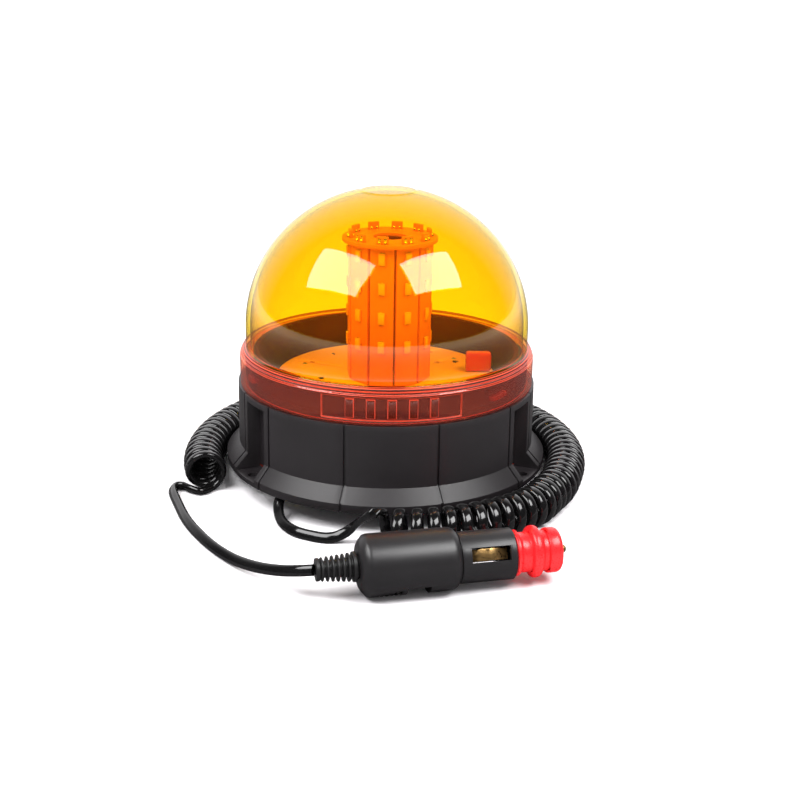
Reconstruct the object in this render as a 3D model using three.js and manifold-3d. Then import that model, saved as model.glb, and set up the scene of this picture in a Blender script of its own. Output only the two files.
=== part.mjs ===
// Amber LED warning beacon: magnetic base, screw-on lens, curly lead and lighter plug.
// Millimetres, +Z up. The origin is the middle of the magnet's rubber face, which stands on z = 0.
// The front of the beacon faces -Y. An azimuth is in degrees from the front, positive towards +X.
import * as THREE from "three";
import { mergeVertices } from "three/addons/utils/BufferGeometryUtils.js";
import Module from "manifold-3d";

const wasm = await Module();
wasm.setup();

// ---------------------------------------------------------------- driving dimensions
const GAP = 0.3; // between pieces that touch
const ROUND = 48; // facets round the large parts
const TURN = 2.2; // how far the base is turned from the front

// base
const RIM_Z = 9.7; // underside of the base, above the magnet's face
const FLARE_R = 74.4; // widest, at the foot flare
const FLARE_LOW_Z = 13.3;
const FLARE_TOP_Z = 19.3;
const WALL_R = 68.6;
const SHOULDER_Z = 46.7; // ledge that the lens comes down to
const SPIGOT_R = 61.2; // collar inside the lens
const SPIGOT_BORE = 58.6;
const SPIGOT_TOP = 61.8;
const SKIN = 2.6; // moulded wall thickness
const NOTCH_AT = [60, 180, 300]; // three fixing recesses, from TURN
const NOTCH_HALF = 6.7; // half-width in degrees
const NOTCH_R = 62.6;
const EAR_Z = 12.1; // top of the fixing ear at the foot of each recess
const EAR_HOLE_R = 2.3;
const GROOVES = [-16.9, 16.9, 50.3, 69.7]; // from the middle of each third
const GROOVE_DEEP = 0.9;
const GROOVE_WIDE = 1.1;

// lens
const LENS_FOOT = 47.1;
const SKIRT_R = 67.5;
const SKIRT_BORE = 64.9;
const DOME_R = 64.6; // lower wall of the dome
const DOME_MID_Z = 72; // the dome curves in above this
const DOME_RISE = 63;
const DOME_TOP = 133.8;
const LENS_WALL = 2.1;
const RIB_PITCH = 7.7; // grip ribs, in degrees
const RIB_WIDE = 3.1;
const THREAD_LEAD = 24; // rise of the lens in one turn
const LUG_AT = [50, 170, 290];

// light tower
const BOARD_Z = 46.4; // underside of the main board
const BOARD_THICK = 1.6;
const BOARD_R = 50.9;
const TOWER_X = 0.9;
const TOWER_SIDES = 10;
const TOWER_TURN = -10.5; // azimuth of the first face
const FACE_R = 18.6; // axis to the outer face of a strip
const STRIP_WIDE = 10.6;
const STRIP_FOOT = 48.3;
const STRIP_TOP = 111.3;
const TAB_TOP = 116.5;
const TOP_BOARD_Z = 111.6;
const TOP_BOARD_R = 21.6;
const LED_ROWS = [66.4, 79.8, 93.2, 106.6];

// magnet
const MAGNET_R = 43.7;
const BOOT_R = 45.6;

// cord
const CORD_R = 1.6; // half the mean thickness of the flat twin cord
const COIL_R = 9.25; // outside of the curly stretch
const COIL_START = -1.3; // azimuths of its two ends
const COIL_END = 289;
const COIL_PATH = [[-1.3, 89.2], [20, 89.6], [43, 89.4], [58, 86.6], [75, 84.9], [100, 84.7],
  [180, 84.8], [262, 84.8], [289, 85.8]]; // azimuth, radius

// lighter plug, in its own frame: +X runs from the cord to the tip
const PLUG_AT = [-26.5, -132, 12.4];
const PLUG_TURN = 12.3; // degrees about +Z
const BODY_R = 12.25;
const BODY_FROM = 16.4;
const BODY_TO = 55.6;
const BODY_ROLL = -19; // the plug lies rolled towards the front
const BARREL_R = 10.1;
const BARREL_TO = 77.9;
const NOSE_R = 6;
const NOSE_TO = 94.6;
const ADAPTER_TO = 97;
const CONTACT_TILT = 28; // the front contact looks this far above level

// ---------------------------------------------------------------- materials
const finish = (color, roughness, metalness = 0, opacity = 1) =>
  new THREE.MeshStandardMaterial({
    color, roughness, metalness, opacity, transparent: opacity < 1,
  });
const amber = finish(0xffb400, 0.08, 0, 0.55);
const blackCase = finish(0x2b292b, 0.45);
const blackRubber = finish(0x18181a, 0.6);
const glossCord = finish(0x141414, 0.3);
const zinc = finish(0xb9bcc0, 0.35, 1);
const ferrite = finish(0x3a3a3c, 0.6);
const whiteBoard = finish(0xf2f0ea, 0.4);
const redPlastic = finish(0xe0262e, 0.35);
const brass = finish(0xb08a45, 0.3, 1);
const greyPart = finish(0x3c3d42, 0.45);
const clearGlass = finish(0xd8e4e6, 0.05, 0, 0.5);
const redWire = finish(0xb01c1c, 0.45);

// ---------------------------------------------------------------- shape helpers
const rad = THREE.MathUtils.degToRad;
const polar = (r, a, z = 0) => new THREE.Vector3(r * Math.sin(rad(a)), -r * Math.cos(rad(a)), z);

// A three.js geometry as a solid: shared corners merged, collapsed triangles dropped, faces out.
function toSolid(geometry) {
  const plain = geometry.index ? geometry.toNonIndexed() : geometry.clone();
  plain.deleteAttribute("normal");
  plain.deleteAttribute("uv");
  const merged = mergeVertices(plain, 1e-4);
  const corners = merged.index.array;
  const triangles = [];
  for (let i = 0; i < corners.length; i += 3) {
    const [a, b, c] = corners.slice(i, i + 3);
    if (a !== b && b !== c && c !== a) triangles.push(a, b, c);
  }
  const build = (triVerts) =>
    new wasm.Manifold(new wasm.Mesh({
      numProp: 3,
      vertProperties: merged.attributes.position.array,
      triVerts: Uint32Array.from(triVerts),
    }));
  const solid = build(triangles);
  return solid.volume() < 0 ? build(triangles.reverse()) : solid;
}

function toGeometry(solid) {
  const { numProp, vertProperties, triVerts } = solid.getMesh();
  const geometry = new THREE.BufferGeometry();
  const positions = new Float32Array((vertProperties.length / numProp) * 3);
  for (let i = 0; i < positions.length / 3; i++)
    for (let k = 0; k < 3; k++) positions[3 * i + k] = vertProperties[numProp * i + k];
  geometry.setAttribute("position", new THREE.BufferAttribute(positions, 3));
  geometry.setIndex(new THREE.BufferAttribute(Uint32Array.from(triVerts), 1));
  return geometry;
}

const joined = (...solids) => solids.reduce((all, one) => all.add(one));
const cut = (solid, ...tools) => tools.reduce((left, tool) => left.subtract(tool), solid);

// A body of revolution about +Z from a profile of [radius, height] corners.
function turned(profile, segments = 48) {
  const onAxis = profile[0][0] === 0 && profile.at(-1)[0] === 0;
  const points = onAxis ? profile : [...profile, profile[0]];
  const outline = points.map(([r, z]) => new THREE.Vector2(r, z));
  return toSolid(new THREE.LatheGeometry(outline, segments).rotateX(Math.PI / 2));
}

const boxGeometry = (x, y, z, at = [0, 0, 0]) => new THREE.BoxGeometry(x, y, z).translate(...at);
const block = (x, y, z, at) => toSolid(boxGeometry(x, y, z, at));

// An upright rod that stands on z = from.
const rod = (r, from, to, x = 0, y = 0, segments = 20) =>
  toSolid(new THREE.CylinderGeometry(r, r, to - from, segments)
    .rotateX(Math.PI / 2).translate(x, y, (from + to) / 2));

// A rod along +X.
const lyingRod = (r, from, to, y = 0, z = 0, segments = 24) =>
  toSolid(new THREE.CylinderGeometry(r, r, to - from, segments)
    .rotateZ(Math.PI / 2).translate((from + to) / 2, y, z));

// A turned body whose axis is +X: corners are [x, radius].
function lyingTurned(profile, segments = 32) {
  const onAxis = profile[0][1] === 0 && profile.at(-1)[1] === 0;
  const points = onAxis ? profile : [...profile, profile[0]];
  const outline = points.map(([x, r]) => new THREE.Vector2(r, x));
  return toSolid(new THREE.LatheGeometry(outline, segments).rotateZ(-Math.PI / 2));
}

// A piece of a ring between two radii and heights, centred on an azimuth; it climbs at `lead` a turn.
function sector(inner, outer, low, high, azimuth, width, lead = 0) {
  const from = rad(azimuth - width / 2 - 90);
  const to = rad(azimuth + width / 2 - 90);
  const shape = new THREE.Shape();
  shape.absarc(0, 0, outer, from, to, false);
  shape.absarc(0, 0, inner, to, from, true);
  const curveSegments = Math.max(1, Math.round(width / 7));
  const geometry = new THREE.ExtrudeGeometry(shape, {
    depth: high - low, bevelEnabled: false, curveSegments,
  }).translate(0, 0, low);
  if (lead) climb(geometry, azimuth - width / 2, lead);
  return toSolid(geometry);
}

// Shears a geometry up a helix that starts at the given azimuth.
function climb(geometry, start, lead) {
  const at = geometry.attributes.position;
  for (let i = 0; i < at.count; i++) {
    const azimuth = THREE.MathUtils.radToDeg(Math.atan2(at.getX(i), -at.getY(i)));
    const past = (((azimuth - start + 5) % 360) + 360) % 360 - 5;
    at.setZ(i, at.getZ(i) + (lead * past) / 360);
  }
}

// A tube along a curve, closed at both ends.
function tube(curve, r, steps, sides = 8) {
  const section = new THREE.Shape();
  section.absellipse(0, 0, r, r, 0, 2 * Math.PI, false, 0);
  return new THREE.ExtrudeGeometry(section, {
    steps, extrudePath: curve, curveSegments: sides / 2, bevelEnabled: false,
  });
}
const through = (points) =>
  new THREE.CatmullRomCurve3(points.map((p) => new THREE.Vector3(...p)), false, "centripetal");

const beacon = new THREE.Group();

function add(name, shape, material, parent = beacon) {
  const geometry = shape.isBufferGeometry ? toGeometry(toSolid(shape)) : toGeometry(shape);
  geometry.computeVertexNormals();
  const mesh = new THREE.Mesh(geometry, material);
  mesh.name = name;
  parent.add(mesh);
  return mesh;
}

// ---------------------------------------------------------------- base housing
const PLATE_R = 62.9;
const PLATE_LOW = 9.9;
const PLATE_TOP = 12.9;
const BOSS_R = 57.4; // plate screws
const BOSS_AT = [0, 120, 240];
const CORD_AZIMUTH = -40.3;

function baseHousing() {
  const skirtBore = PLATE_R + GAP;
  const cavity = WALL_R - SKIN;
  const shell = turned([
    [FLARE_R - 0.3, RIM_Z], [FLARE_R, FLARE_LOW_Z], [WALL_R, FLARE_TOP_Z],
    [WALL_R - 0.2, SHOULDER_Z], [SPIGOT_R, SHOULDER_Z], [SPIGOT_R, SPIGOT_TOP - 0.5],
    [SPIGOT_R - 0.5, SPIGOT_TOP], [SPIGOT_BORE + 0.4, SPIGOT_TOP], [SPIGOT_BORE, SPIGOT_TOP - 0.4],
    [SPIGOT_BORE, RIM_Z],
  ], ROUND);
  // hollows: the room inside the wall, the plate's seat and the underside of the flare
  let room = joined(
    turned([[0, PLATE_TOP], [skirtBore, PLATE_TOP], [cavity, FLARE_TOP_Z - 1],
      [cavity, SHOULDER_Z - SKIN], [0, SHOULDER_Z - SKIN]], ROUND),
    turned([[0, RIM_Z - 1], [skirtBore, RIM_Z - 1], [skirtBore, PLATE_TOP + 0.2],
      [0, PLATE_TOP + 0.2]], ROUND),
  );
  const underFlare = turned([
    [cavity + 0.2, RIM_Z - 1], [FLARE_R - SKIN, RIM_Z - 1], [FLARE_R - SKIN, FLARE_LOW_Z - 1],
    [WALL_R - 0.4, FLARE_TOP_Z - 2.9], [cavity + 0.2, FLARE_TOP_Z - 2.9],
  ], ROUND);
  let recesses = [];
  for (const third of NOTCH_AT) {
    const middle = TURN + third;
    // walls behind each recess, and the solid foot that carries the ear
    room = cut(room, sector(NOTCH_R - SKIN, WALL_R, PLATE_TOP + GAP, SHOULDER_Z, middle, 24));
    recesses.push(sector(NOTCH_R, FLARE_R + 2, EAR_Z, SHOULDER_Z - SKIN, middle, 2 * NOTCH_HALF));
    const ear = polar(FLARE_R - 4.6, middle);
    recesses.push(rod(EAR_HOLE_R, RIM_Z - 1, EAR_Z + 1, ear.x, ear.y));
  }
  const flareHollow = cut(underFlare,
    ...NOTCH_AT.map((third) => sector(PLATE_R, FLARE_R, 0, SHOULDER_Z, TURN + third, 21)));
  const bosses = BOSS_AT.map((azimuth) => {
    const at = polar(BOSS_R, TURN + azimuth);
    return rod(4.6, PLATE_TOP + GAP, SHOULDER_Z - 1, at.x, at.y);
  });
  const pilots = BOSS_AT.map((azimuth) => {
    const at = polar(BOSS_R, TURN + azimuth);
    return rod(1.85, PLATE_TOP - 1, 24, at.x, at.y, 12);
  });
  const outlet = block(10, 9, 8, [0, -64.6, RIM_Z + 1]).rotate([0, 0, CORD_AZIMUTH]);
  let housing = cut(shell, room, flareHollow, ...recesses, grooveCutter());
  housing = cut(joined(housing, ...bosses, ...threadRibs()), ...pilots, outlet);
  return housing;
}

// Thin slabs that stand round the wall and flare, less the core that they stop at.
function grooveCutter() {
  const core = turned([
    [0, 0], [FLARE_R - GROOVE_DEEP, 0], [FLARE_R - GROOVE_DEEP, FLARE_LOW_Z - 0.4],
    [WALL_R - GROOVE_DEEP, FLARE_TOP_Z - 0.4], [WALL_R - GROOVE_DEEP, SHOULDER_Z + 2],
    [0, SHOULDER_Z + 2],
  ], ROUND);
  const slabs = [];
  for (const third of [0, 120, 240])
    for (const groove of GROOVES)
      slabs.push(block(GROOVE_WIDE, 12, SHOULDER_Z - SKIN - RIM_Z + 2,
        [0, -WALL_R - 3, (SHOULDER_Z - SKIN + RIM_Z) / 2 - 1]).rotate([0, 0, TURN + third + groove]));
  return cut(joined(...slabs), core);
}

// Helical ribs outside the spigot that hold the lens down.
const RIB_SPAN = 58;
function threadRibs() {
  return LUG_AT.map((azimuth) =>
    sector(SPIGOT_R - 0.4, SPIGOT_R + 2.3, 53.6, 55.8, azimuth - 6 + RIB_SPAN / 2, RIB_SPAN,
      THREAD_LEAD));
}

add("base_housing", baseHousing(), blackCase);

// ---------------------------------------------------------------- bottom plate and its screws
const PILLAR_R = 41.6;
const PILLAR_AT = [-111.3, 8.7, 128.7];

function basePlate() {
  const disc = turned([[3.3, PLATE_LOW], [PLATE_R, PLATE_LOW], [PLATE_R, PLATE_TOP],
    [3.3, PLATE_TOP]], ROUND);
  const pillars = PILLAR_AT.map((azimuth) => {
    const at = polar(PILLAR_R, azimuth);
    return rod(3.6, PLATE_TOP - 0.5, BOARD_Z - GAP, at.x, at.y, 16);
  });
  const holes = PILLAR_AT.map((azimuth) => {
    const at = polar(PILLAR_R, azimuth);
    return rod(1.4, 36, BOARD_Z + 1, at.x, at.y, 12);
  });
  const screws = BOSS_AT.map((azimuth) => {
    const at = polar(BOSS_R, TURN + azimuth);
    return rod(1.95, PLATE_LOW - 1, PLATE_TOP + 1, at.x, at.y, 12);
  });
  const outlet = block(10, 12, 8, [0, -62.6, PLATE_LOW + 1]).rotate([0, 0, CORD_AZIMUTH]);
  return cut(joined(disc, ...pillars), ...holes, ...screws, outlet);
}

// A pan-head screw that points up from z = top of its head.
const upScrew = (head, z, shank, length) =>
  turned([[0, z - 1.7], [head * 0.7, z - 1.7], [head, z - 1], [head, z], [shank, z],
    [shank, z + length], [0, z + length]], 16);

add("base_plate", basePlate(), blackCase);
BOSS_AT.forEach((azimuth, i) => {
  const screw = add(`base_plate_screw_${i + 1}`, upScrew(3.3, PLATE_LOW - GAP, 1.5, 12), zinc);
  screw.position.copy(polar(BOSS_R, TURN + azimuth));
});

// ---------------------------------------------------------------- magnet
add("magnet_boot", turned([[0, 0], [BOOT_R - 0.8, 0], [BOOT_R, 0.8], [BOOT_R, 8.6],
  [BOOT_R - 1.5, 8.6], [BOOT_R - 1.5, 1.3], [0, 1.3]], 40), blackRubber);
add("magnet_cup", turned([[3.3, 7.2], [MAGNET_R - 2.2, 7.2], [MAGNET_R - 2.2, 1.7],
  [MAGNET_R, 1.7], [MAGNET_R, 9.4], [3.3, 9.4]], 40), zinc);
add("magnet_ring", turned([[9, 1.7], [MAGNET_R - 2.6, 1.7], [MAGNET_R - 2.6, 6.9], [9, 6.9]], 40),
  ferrite);
add("magnet_bolt", turned([[0, 2.6], [6, 2.6], [6, 6.9], [2.95, 6.9], [2.95, 22], [0, 22]], 24),
  zinc);
add("magnet_washer", turned([[3.3, 13.2], [7, 13.2], [7, 14.4], [3.3, 14.4]], 32), zinc);
add("magnet_nut", cut(
  toSolid(new THREE.CylinderGeometry(5.8, 5.8, 5, 6).rotateX(Math.PI / 2).translate(0, 0, 17.2)),
  rod(3.25, 10, 24, 0, 0, 24)), zinc);

// ---------------------------------------------------------------- main board
const BOARD_TOP = BOARD_Z + BOARD_THICK;

function mainBoard() {
  const disc = turned([[0, BOARD_Z], [BOARD_R, BOARD_Z], [BOARD_R, BOARD_TOP], [0, BOARD_TOP]], ROUND);
  const holes = PILLAR_AT.map((azimuth) => {
    const at = polar(PILLAR_R, azimuth);
    return rod(1.6, BOARD_Z - 1, BOARD_TOP + 1, at.x, at.y, 12);
  });
  const wireHoles = [rod(1.3, BOARD_Z - 1, BOARD_TOP + 1, -35.2, 17.6, 12),
    rod(1.6, BOARD_Z - 1, BOARD_TOP + 1, 24, 20, 12)];
  return cut(disc, ...holes, ...wireHoles);
}
add("main_board", mainBoard(), whiteBoard);

PILLAR_AT.forEach((azimuth, i) => {
  const z = BOARD_TOP + GAP;
  const screw = add(`board_screw_${i + 1}`,
    turned([[0, z - 9], [1.1, z - 9], [1.1, z], [2.7, z], [2.7, z + 0.9], [1.7, z + 1.7],
      [0, z + 1.7]], 16), zinc);
  screw.position.copy(polar(PILLAR_R, azimuth));
});

// ---------------------------------------------------------------- light tower
// One strip: a board with a tab at its top and one LED in each row, fused to it. Face towards -Y.
function ledStrip() {
  const thick = BOARD_THICK;
  const middle = -FACE_R + thick / 2;
  const height = STRIP_TOP - STRIP_FOOT;
  let strip = joined(
    block(STRIP_WIDE, thick, height, [0, middle, STRIP_FOOT + height / 2]),
    block(5, thick, TAB_TOP - STRIP_TOP + 1, [0, middle, (TAB_TOP + STRIP_TOP - 1) / 2]),
  );
  for (const z of LED_ROWS)
    strip = joined(strip, block(3, 1.3, 5.7, [0, -FACE_R - 0.45, z]));
  return strip;
}

const tower = new THREE.Group();
tower.position.x = TOWER_X;
beacon.add(tower);
const strip = ledStrip();
for (let i = 0; i < TOWER_SIDES; i++) {
  const name = `led_board_${String(i + 1).padStart(2, "0")}`;
  add(name, strip, whiteBoard, tower).rotation.z = rad(TOWER_TURN + (i * 360) / TOWER_SIDES);
}

function topBoard() {
  const top = TOP_BOARD_Z + BOARD_THICK;
  const disc = turned([[0, TOP_BOARD_Z], [TOP_BOARD_R, TOP_BOARD_Z], [TOP_BOARD_R, top], [0, top]], 40);
  const slots = [];
  for (let i = 0; i < TOWER_SIDES; i++)
    slots.push(block(5.7, 2.3, 6, [0, -FACE_R + BOARD_THICK / 2, top - 2])
      .rotate([0, 0, TOWER_TURN + (i * 360) / TOWER_SIDES]));
  const chips = [block(4, 2.4, 1.4, [-6, 3, top + 0.6]), block(4, 2.4, 1.4, [6, 3, top + 0.6])];
  return joined(cut(disc, ...slots), ...chips);
}
add("tower_top_board", topBoard(), whiteBoard, tower);

// ---------------------------------------------------------------- driver parts on the main board
add("film_capacitor", block(12, 5.6, 9.2, [43, 6.6, BOARD_TOP + GAP + 4.6]), redPlastic);
add("smoothing_capacitor", rod(6.5, 29, BOARD_Z - GAP, -14, -22, 24), greyPart);
add("driver_coil", turned([[0, 36], [5, 36], [5, 38], [3.6, 39.4], [3.6, 42.6], [5, 44],
  [5, BOARD_Z - GAP], [0, BOARD_Z - GAP]], 24).translate([14, -22, 0]), greyPart);
add("driver_chip", block(10, 7, 4.4, [0, -10, BOARD_Z - GAP - 2.2]), greyPart);

// ---------------------------------------------------------------- lens and its seal
add("lens_seal", turned([[SPIGOT_R + 0.4, SHOULDER_Z + 0.4], [SKIRT_BORE - 0.4, SHOULDER_Z + 0.4],
  [SKIRT_BORE - 0.4, SHOULDER_Z + 2], [SPIGOT_R + 0.4, SHOULDER_Z + 2]], ROUND), blackRubber);

// The dome's meridian from its lower wall to the flat disc on top.
function domeCurve(wall, disc, steps) {
  const curve = [];
  const across = DOME_R - wall;
  const rise = DOME_RISE - wall;
  const last = Math.acos(disc / across);
  for (let i = 0; i <= steps; i++) {
    const t = (last * i) / steps;
    curve.push([across * Math.cos(t), DOME_MID_Z + rise * Math.sin(t)]);
  }
  return curve;
}

function domeLens() {
  const outside = [[SKIRT_BORE, LENS_FOOT], [SKIRT_R - 0.3, LENS_FOOT], [SKIRT_R, LENS_FOOT + 0.5],
    [SKIRT_R, 59.9], [66.9, 60.3], [66.9, 61.4], [66.2, 61.8], [66.2, 62.6], [65, 63.6],
    [DOME_R + 0.1, 64.5], ...domeCurve(0, 12.3, 8)];
  outside.push([11.6, DOME_TOP + 0.3], [0, DOME_TOP + 0.3]);
  const inside = [...domeCurve(LENS_WALL, 0.001, 7).reverse().slice(1)];
  inside.unshift([0, DOME_MID_Z + DOME_RISE - LENS_WALL]);
  inside.push([DOME_R - LENS_WALL, 62.6], [SKIRT_BORE, 60.6]);
  let lens = turned([[0, DOME_TOP + 0.3], ...outside.reverse().slice(1), ...inside.reverse()], ROUND);
  for (const third of [0, 120, 240]) lens = cut(lens, gripZone(TURN + third));
  return joined(lens, ...LUG_AT.map((azimuth) =>
    sector(SPIGOT_R + 1.1, SKIRT_BORE + 0.4, 50.6, 52.9, azimuth, 9, THREAD_LEAD)));
}

// A shallow grip panel in the skirt with five ribs left standing.
function gripZone(middle) {
  let panel = sector(SKIRT_R - 0.7, SKIRT_R + 1, LENS_FOOT + 2, 58.9, middle, 52);
  for (const step of [-2, -1, 0, 1, 2])
    panel = cut(panel, sector(SKIRT_R - 1, SKIRT_R + 2, 0, 58.2, middle + step * RIB_PITCH, RIB_WIDE));
  return panel;
}
add("dome_lens", domeLens(), amber);

// ---------------------------------------------------------------- cord
const GROMMET_AT = polar(62.6, CORD_AZIMUTH, 10.4);
function grommet() {
  const sleeve = joined(block(9, 3, 5.4, [0, 0, 0]), block(7.6, 8.2, 4.6, [0, 0, 0]));
  return cut(sleeve, toSolid(tube(through([[0, -6, 0], [0, 6, 0]]), CORD_R + GAP, 1, 10)));
}
const bush = add("cable_grommet", grommet(), blackRubber);
bush.position.copy(GROMMET_AT);
bush.rotation.z = rad(CORD_AZIMUTH);

// The lead runs out under the flare, bends over the floor and climbs to the coil's first turn.
const LEAD_POINTS = [
  [-43.8, -51.6, 10.3], [-45.4, -53.6, 8.6], [-46.2, -56.2, 6.6], [-45.9, -60.0, 4.4],
  [-44.6, -64.6, 2.8], [-42.2, -69.4, 2.2], [-37.4, -75.4, 2.2], [-30.6, -79.4, 2.2],
  [-24.0, -81.6, 2.3], [-19.4, -81.6, 3.2], [-15.2, -81.6, 5.6], [-11.2, -83.0, 10.0],
  [-7.8, -85.4, 14.4], [-4.6, -87.4, 17.2],
];
add("cord_lead", tube(through(LEAD_POINTS), CORD_R, 36), glossCord);

// Radius of the coil's centreline at an azimuth, between the corners of COIL_PATH.
function coilRadius(azimuth) {
  const next = Math.max(1, COIL_PATH.findIndex(([a]) => a >= azimuth));
  const [[a0, r0], [a1, r1]] = [COIL_PATH[next - 1], COIL_PATH[next]];
  const t = (azimuth - a0) / (a1 - a0);
  return THREE.MathUtils.lerp(r0, r1, t * t * (3 - 2 * t));
}
const coilMiddle = [];
for (let i = 0; i <= 36; i++) {
  const azimuth = COIL_START + ((COIL_END - COIL_START) * i) / 36;
  coilMiddle.push(polar(coilRadius(azimuth), azimuth, COIL_R).toArray());
}
add("curly_cord", tube(through(coilMiddle), COIL_R - 0.05, 44, 12), glossCord);

// The tail comes off the foot of the last turn, doubles back and runs round to the plug.
const TAIL_POINTS = [
  [-79.0, -31.0, 1.8], [-83.6, -32.6, 1.9], [-88.2, -30.8, 2.2], [-92.0, -27.6, 2.3],
  [-95.0, -27.6, 2.3], [-96.2, -30.6, 2.3], [-95.2, -36.2, 2.3], [-91.8, -46.4, 2.2],
  [-85.4, -64.0, 2.2], [-78.2, -78.4, 2.2], [-69.6, -92.0, 2.2], [-60.6, -103.6, 2.8],
  [-50.8, -114.6, 5.0], [-40.4, -124.6, 8.4], [-33.0, -129.6, 10.8], [-26.8, -132.1, 12.4],
];
add("cord_tail", tube(through(TAIL_POINTS), CORD_R, 48), glossCord);

// The two cores inside the base, from the grommet up to the main board.
const wirePath = (side) =>
  [[57.4, 11.2], [57.3, 14.2], [53, 19], [46, 26], [42, 36], [41, BOARD_Z - GAP]].map(([r, z]) =>
    new THREE.Vector3(side, -r, z).applyAxisAngle(new THREE.Vector3(0, 0, 1), rad(CORD_AZIMUTH)).toArray());
add("live_wire", tube(through(wirePath(1.5)), 0.8, 16), redWire);
add("earth_wire", tube(through(wirePath(-1.5)), 0.8, 16), greyPart);

// ---------------------------------------------------------------- lighter plug
const plug = new THREE.Group();
plug.position.set(...PLUG_AT);
plug.rotation.z = rad(PLUG_TURN);
beacon.add(plug);

function strainRelief() {
  const ribs = [];
  for (let i = 0; i < 7; i++) {
    const x = 0.4 + i * 2.05;
    ribs.push(lyingRod(4.4 + i * 0.18, x, x + (i ? 1 : 1.5), 0, 0, 14));
  }
  const core = lyingTurned([[0.5, 0], [0.5, 3.5], [14.6, 4.3], [14.6, 5.9], [16.1, 5.9],
    [16.1, 4.5], [21.5, 4.5], [21.5, 0]], 14);
  return cut(joined(core, ...ribs), lyingRod(CORD_R + GAP, -1, 2.6, 0, 0, 10));
}
add("plug_strain_relief", strainRelief(), blackRubber, plug);

// One half of the body: side -1 is the front shell, +1 the back shell.
function plugShell(side) {
  const wall = 2.2;
  const whole = lyingTurned([
    [BODY_FROM, 4.8], [BODY_FROM, 8.6], [BODY_FROM + 2.6, BODY_R - 0.2], [BODY_FROM + 4, BODY_R],
    [BODY_TO - 3.4, BODY_R], [BODY_TO - 1.4, BODY_R - 0.7], [BODY_TO, BODY_R - 2.2],
    [BODY_TO, 9.7], [22, 9.7], [19.2, 8], [19.2, 4.8],
  ], 32);
  const half = block(60, 20, 40, [37, side * (10 + GAP / 2), 0]);
  const boss = toSolid(new THREE.CylinderGeometry(2.6, 2.6, 10.4, 16)
    .translate(35, side * (5.2 + GAP / 2), 0));
  const bore = toSolid(new THREE.CylinderGeometry(side < 0 ? 1.2 : 1.6, side < 0 ? 1.2 : 1.6, 14, 12)
    .translate(35, side < 0 ? -2 : 6, 0));
  const headRoom = toSolid(new THREE.CylinderGeometry(2.6, 2.6, 6, 16).translate(35, 11, 0));
  const grip = [0, 1, 2, 3, 4].map((i) => block(1.1, 4, 1.6, [24.2 + i * 1.9, side * 2.2, -BODY_R - 0.1]));
  const latch = block(9.2, 3.4, wall + 0.6, [39, side * 2, -BODY_R + 0.4]);
  let shell = cut(joined(whole.intersect(half), boss), bore, ...grip, latch);
  if (side > 0) shell = cut(shell, headRoom);
  return shell;
}
add("plug_shell_front", plugShell(-1), blackCase, plug).rotation.x = rad(BODY_ROLL);
add("plug_shell_back", plugShell(1), blackCase, plug).rotation.x = rad(BODY_ROLL);
add("plug_screw", turned([[0, -9.7], [2.2, -9.7], [2.2, -8.2], [0.95, -8.2], [0.95, 5], [0, 5]], 16)
  .rotate([90 + BODY_ROLL, 0, 0]).translate([35, 0, 0]), zinc, plug);

// The barrel has a window on each side for the earth contacts.
const WINDOW_FROM = 59.6;
const WINDOW_TO = 75.1;
function plugBarrel() {
  const sleeve = lyingTurned([[50, 7.8], [50, 9.4], [BODY_TO - 0.4, 9.4], [BODY_TO + GAP, 9.4],
    [BODY_TO + GAP, BARREL_R], [BARREL_TO - 0.5, BARREL_R], [BARREL_TO, BARREL_R - 0.5],
    [BARREL_TO, 6.4], [BARREL_TO - 1.4, 6.4], [BARREL_TO - 1.4, 7.8]], 28);
  const window = block(WINDOW_TO - WINDOW_FROM, 40, 5.6,
    [(WINDOW_FROM + WINDOW_TO) / 2, 0, 0]).rotate([CONTACT_TILT * -1, 0, 0]);
  return cut(sleeve, window);
}
add("plug_barrel", plugBarrel(), blackCase, plug);
add("fuse_cap", lyingTurned([[76.2, 4.2], [76.2, 6.1], [BARREL_TO + 0.2, 6.1], [BARREL_TO + 0.2, NOSE_R],
  [NOSE_TO - 1, NOSE_R], [NOSE_TO, NOSE_R - 1], [NOSE_TO, 2], [NOSE_TO - 2, 2],
  [NOSE_TO - 2, 4.2]], 28), blackCase, plug);

// The fuse bears on the tip contact and on its spring.
const FUSE_FROM = 70.4;
const FUSE_TO = 90.4;
add("fuse", lyingTurned([[FUSE_FROM, 0], [FUSE_FROM, 2.6], [75, 2.6], [75, 2.4], [86, 2.4],
  [86, 2.6], [FUSE_TO, 2.6], [FUSE_TO, 0]], 16), clearGlass, plug);
add("tip_contact", lyingTurned([[FUSE_TO + 0.15, 0], [FUSE_TO + 0.15, 3.7], [92.2, 3.7],
  [92.2, 1.6], [98.9, 1.6], [100.4, 0.9], [100.4, 0]], 16), brass, plug);

const SPRING_TURNS = 6;
class Helix extends THREE.Curve {
  getPoint(t) {
    const angle = 2 * Math.PI * SPRING_TURNS * t;
    return new THREE.Vector3(58.5 + 11 * t, 2 * Math.cos(angle), 2 * Math.sin(angle));
  }
}
add("fuse_spring", tube(new Helix(), 0.35, 42, 6), zinc, plug);
add("fuse_holder", lyingTurned([[55.6, 0], [55.6, 5.4], [57.8, 5.4], [57.8, 0]], 20), brass, plug);

const LEAF_FROM = 59;
const LEAF_TO = 74.4;
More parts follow.
